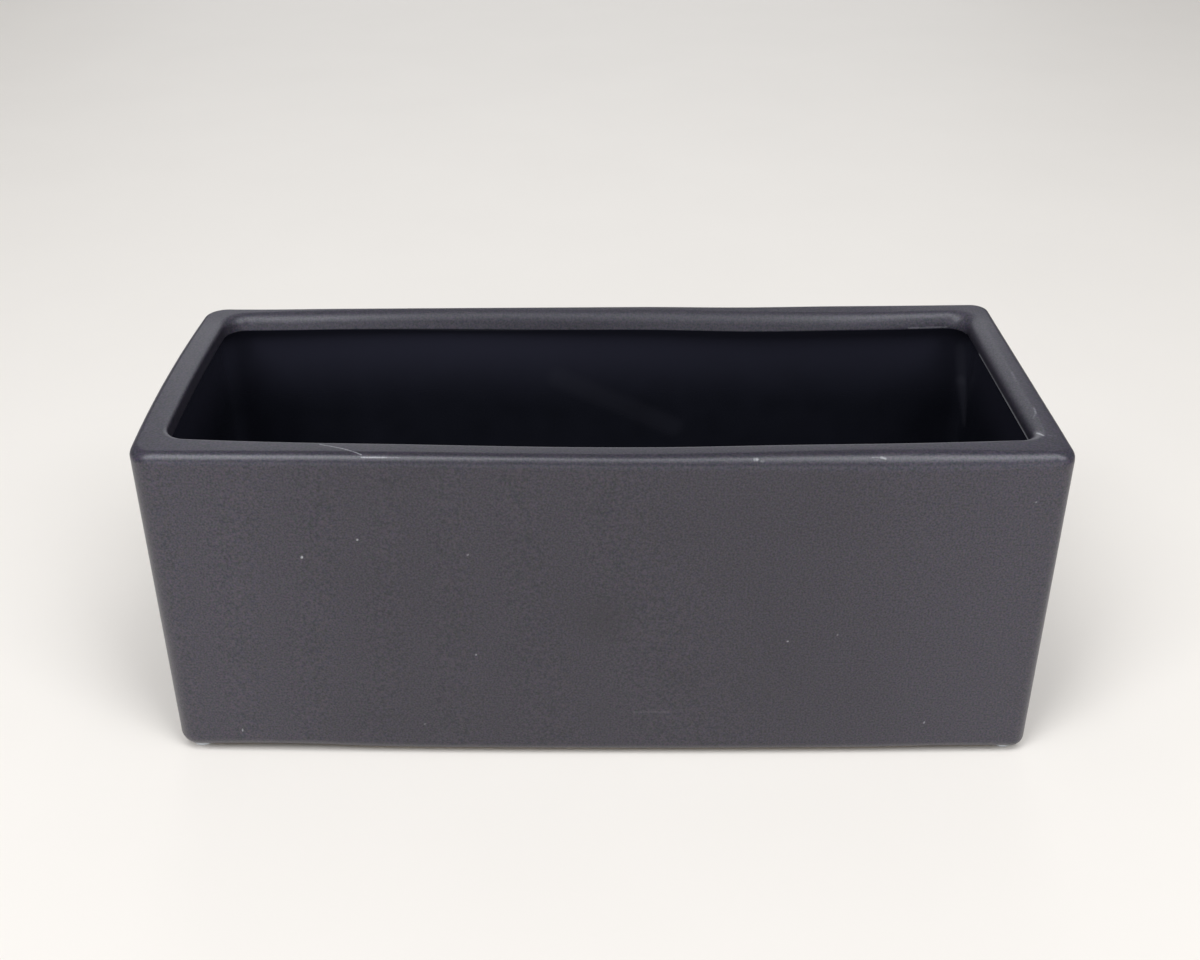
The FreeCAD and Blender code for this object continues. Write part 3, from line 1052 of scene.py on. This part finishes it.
# Painted light: the black turns greyer towards the lip, where more light reaches into the basin
painted_light_below_lip = add_node(
    lining_glaze,
    "ShaderNodeMapRange",
    SMOOTH,
    {"Value": height, "From Min": (LIP - PAINTED_LIGHT_DEPTH) * MM, "From Max": LIP * MM},
)
black_with_painted_light = add_node(
    lining_glaze,
    "ShaderNodeMix",
    RGBA,
    {"Factor": painted_light_below_lip.outputs["Result"], FIRST: black.outputs[MIXED], SECOND: colour("#2f2f3b")},
).outputs[MIXED]
# Painted reflections: pale streaks laid over the black
for painted_glint in PAINTED_REFLECTIONS:
    mask = mark_mask(lining_glaze, spot, *painted_glint)
    black_with_painted_light = add_node(
        lining_glaze,
        "ShaderNodeMix",
        RGBA,
        {"Factor": mask, FIRST: black_with_painted_light, SECOND: colour("#4a4a54")},
    ).outputs[MIXED]
rippled = add_node(
    lining_glaze, "ShaderNodeBump", inputs={"Height": ripple, "Distance": 0.12 * MM, "Strength": 0.5}
)
set_shader(
    lining_glaze,
    {
        "IOR": GLAZE_INDEX,
        "Roughness": 0.16,
        "Base Color": black_with_painted_light,
        "Normal": rippled.outputs["Normal"],
    },
)
# The count is of painted reflections
print(lining_glaze.name, "with", len(PAINTED_REFLECTIONS), "painted_glints")

# %% [markdown]
# ## Bare clay
# Underneath, the fired clay is left bare: pale, dry and slightly sandy. Nothing in it shines, so
# its roughness is high, and a grit of half a millimetre shows as specks and as fine bumps.

# %% Clay for the underside
GRIT_SIZE = 0.6

spot = add_node(fired_clay, "ShaderNodeTexCoord").outputs["Object"]
grit = add_node(
    fired_clay,
    "ShaderNodeTexNoise",
    inputs={"Vector": spot, "Scale": 1 / (GRIT_SIZE * MM), "Detail": 4.0},
).outputs["Fac"]
sandy = add_node(
    fired_clay,
    "ShaderNodeMix",
    RGBA,
    {"Factor": grit, FIRST: colour("#b9ab98"), SECOND: colour("#d2c6b4")},
)
gritty = add_node(
    fired_clay, "ShaderNodeBump", inputs={"Height": grit, "Distance": 0.08 * MM, "Strength": 0.7}
)
set_shader(
    fired_clay,
    {"Roughness": 0.9, "Base Color": sandy.outputs[MIXED], "Normal": gritty.outputs["Normal"]},
)
print(fired_clay.name, "with grit", GRIT_SIZE, "mm wide")

# %% [markdown]
# ## Clear bumper and adhesive
# The bumpers are cast polyurethane, as clear as glass but soft, with a faint haze, so they show as
# pale blurred beads. The adhesive on top of them is a clear acrylic film. Both let light through,
# so both are transmissive, and small flaws make their haze and their surface uneven. The film
# keeps its measured part, which needs only a finish.

# %% Materials of the feet
polyurethane = bpy.data.materials.new("Clear cast polyurethane")
adhesive = bpy.data.materials.new("Clear acrylic adhesive")
for clear, tint, haze, index, clarity, flaw_size in (
    (polyurethane, "#f6faff", 0.2, 1.49, 0.4, 2.5),
    (adhesive, "#f4f4f0", 0.3, 1.47, 1.0, 0.8),
):
    clear.use_nodes = True
    spot = add_node(clear, "ShaderNodeTexCoord").outputs["Object"]
    flaws = add_node(
        clear,
        "ShaderNodeTexNoise",
        inputs={"Vector": spot, "Scale": 1 / (flaw_size * MM), "Detail": 2.0},
    ).outputs["Fac"]
    hazy = add_node(
        clear,
        "ShaderNodeMapRange",
        inputs={"Value": flaws, "To Min": 0.5 * haze, "To Max": 1.5 * haze},
    )
    flawed = add_node(
        clear, "ShaderNodeBump", inputs={"Height": flaws, "Distance": 0.05 * MM, "Strength": 0.4}
    )
    set_shader(
        clear,
        {
            "Base Color": colour(tint),
            "IOR": index,
            "Transmission Weight": clarity,
            "Roughness": hazy.outputs["Result"],
            "Normal": flawed.outputs["Normal"],
        },
    )
for piece in bumpers.values():
    piece.data.materials.append(polyurethane)
film = frame["nodes"]["foot_adhesive_discs"]
film.data.materials.clear()
film.data.materials.append(adhesive)
print("clear materials on", len(bumpers), "bumpers and the adhesive")

# %% [markdown]
# ## Everything in its place
# Each finished piece rides on the part's one body and takes the place of the measured node that it
# stands for, which is hidden.

# %% Hand the pieces to the frame
STANDS_FOR = (
    (clay, "stoneware_body", "stoneware"),
    (matte, "matte_outer_glaze", "matte_glaze"),
    (lining, "gloss_liner_glaze", "gloss_glaze"),
    *((piece, f"{name}_foot", "clear_bumper") for name, piece in bumpers.items()),
)
for piece, node_name, slot_name in STANDS_FOR:
    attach(piece, "root")
    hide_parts(node_name)
    print(piece.name, "stands for", node_name)

# %% [markdown]
# ## The table
# The vessel stands on a plain pale table top, a warm white laminate that is pressed smooth but
# dull, so it shows a soft shadow and no reflection. It is a stage piece, not part of the object. A
# plane is enough for it, far wider than the view, so that no edge of it shows.

# %% A pale table
TABLE_SIZE = 16.0
TONES_PER_METRE = 9.0

deselect_objects()
bpy.ops.mesh.primitive_plane_add(size=TABLE_SIZE)
table = bpy.context.object
table.name = "table_top"
laminate = bpy.data.materials.new("Warm white laminate")
laminate.use_nodes = True
spot = add_node(laminate, "ShaderNodeTexCoord").outputs["Object"]
tone = add_node(
    laminate,
    "ShaderNodeTexNoise",
    inputs={"Vector": spot, "Scale": TONES_PER_METRE, "Detail": 3.0},
)
faint = add_node(
    laminate,
    "ShaderNodeMix",
    RGBA,
    {"Factor": tone.outputs["Fac"], FIRST: colour("#f0eae2"), SECOND: colour("#f4eee6")},
)
set_shader(laminate, {"Roughness": 0.6, "Base Color": faint.outputs[MIXED]})
table.data.materials.append(laminate)
print("table", TABLE_SIZE, "m wide")

# %% [markdown]
# ## Soft studio light
# The light is soft, high in key and slightly cool. Two tall panels stand in front, above the
# camera, and draw the bright line along the rounded edges of the rim; the space between them
# keeps its middle quieter. A low panel behind is reflected in the flat top of the rim and gives
# it its sheen, and a low wide one far in front lifts the front wall. A dim even surround fills
# the rest. Small lamps could do the same, but would draw hard shadows and sharp spots.

# %% Panels and surround
# Each panel is (place, width and height, radiance), in metres
PANELS = {
    "left": ((-0.84, -0.97, 2.06), (0.80, 1.9), 7.4),
    "right": ((0.85, -0.97, 2.06), (0.86, 1.9), 6.2),
    "back": ((-0.05, 2.2, 0.82), (1.75, 1.64), 0.92),
    "low front": ((0.0, -4.5, 0.95), (7.0, 1.9), 1.32),
}
PANEL_COLOUR = "#f8fbff"
SURROUND_COLOUR = "#f4f4f6"
SURROUND_STRENGTH = 0.23
AIM = Vector((0, 0, 60)) * MM

for name, (place, size, radiance) in PANELS.items():
    deselect_objects()
    bpy.ops.object.light_add(type="AREA", location=place)
    panel = bpy.context.object
    panel.name = f"{name}_panel"
    panel.data.shape = "RECTANGLE"
    panel.data.size, panel.data.size_y = size
    panel.data.energy = radiance * math.pi * size[0] * size[1]
    panel.data.color = colour(PANEL_COLOUR)[:3]
    panel.rotation_euler = (AIM - Vector(place)).to_track_quat("-Z", "Y").to_euler()
    panel.visible_camera = False
    print(f"{name} panel: {size[0]} by {size[1]} m, {panel.data.energy:.1f} W")

surround = bpy.data.worlds.new("Studio surround")
surround.use_nodes = True
background = surround.node_tree.nodes["Background"]
background.inputs["Color"].default_value = colour(SURROUND_COLOUR)
background.inputs["Strength"].default_value = SURROUND_STRENGTH
bpy.context.scene.world = surround
bpy.context.scene.view_settings.view_transform = "Standard"

# %% [markdown]
# ## The camera
# The camera looks down at 30 degrees from in front, as in the photograph. Its place, turn and
# focal length were matched to the outline of the vessel.

# %% Camera
CAMERA_PLACE = (-3.31, -456.57, 342.60)
CAMERA_TURN = (60.026, 0.113, -0.600)
FOCAL_LENGTH = 42.67
SENSOR_WIDTH = 36.0
NEAREST_SEEN = 0.01

deselect_objects()
bpy.ops.object.camera_add(
    location=Vector(CAMERA_PLACE) * MM, rotation=[math.radians(angle) for angle in CAMERA_TURN]
)
camera = bpy.context.object
camera.data.lens = FOCAL_LENGTH
camera.data.sensor_width = SENSOR_WIDTH
camera.data.clip_start = NEAREST_SEEN
bpy.context.scene.camera = camera
print("camera at", CAMERA_PLACE, "mm")
